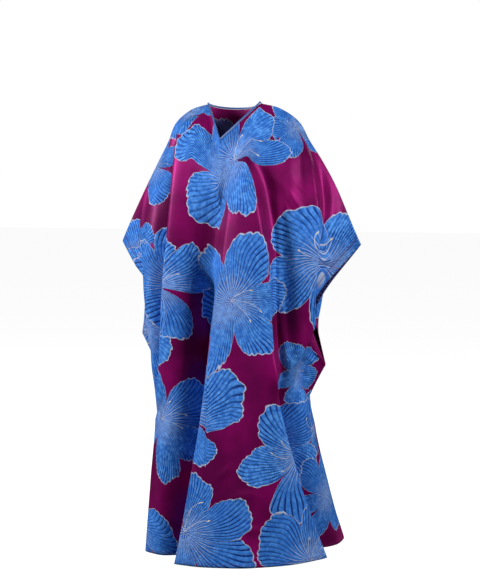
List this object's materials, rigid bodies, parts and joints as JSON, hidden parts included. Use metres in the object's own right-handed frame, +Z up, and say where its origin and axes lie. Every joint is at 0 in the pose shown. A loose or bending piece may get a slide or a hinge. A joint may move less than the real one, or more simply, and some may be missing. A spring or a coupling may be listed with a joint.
{
  "type": "robe",
  "caption": "Floor-length grand boubou robe hanging as worn, with wide sleeves cut in one with the body, a bound V neck, and large raised blue flowers on magenta-purple satin",
  "frame": {"origin": "the middle of the shoulder line between the two neck points, where the wearer's shoulders hold the robe", "axes": "+Z up toward the neck, -Y toward the front that the wearer faces, +X toward the wearer's left"},
  "size_m": [0.8413, 0.7222, 1.4739],
  "materials": {
    "front_cloth": "satin brocade, magenta-purple ground with raised ribbed blue flowers outlined in silvery cord",
    "back_cloth": "satin brocade, the same cloth as the front",
    "binding_cloth": "dark blue satin bias strip"
  },
  "bodies": {
    "root": {"front": "front_cloth", "back": "back_cloth", "neck_binding": "binding_cloth"}
  },
  "joints": []
}
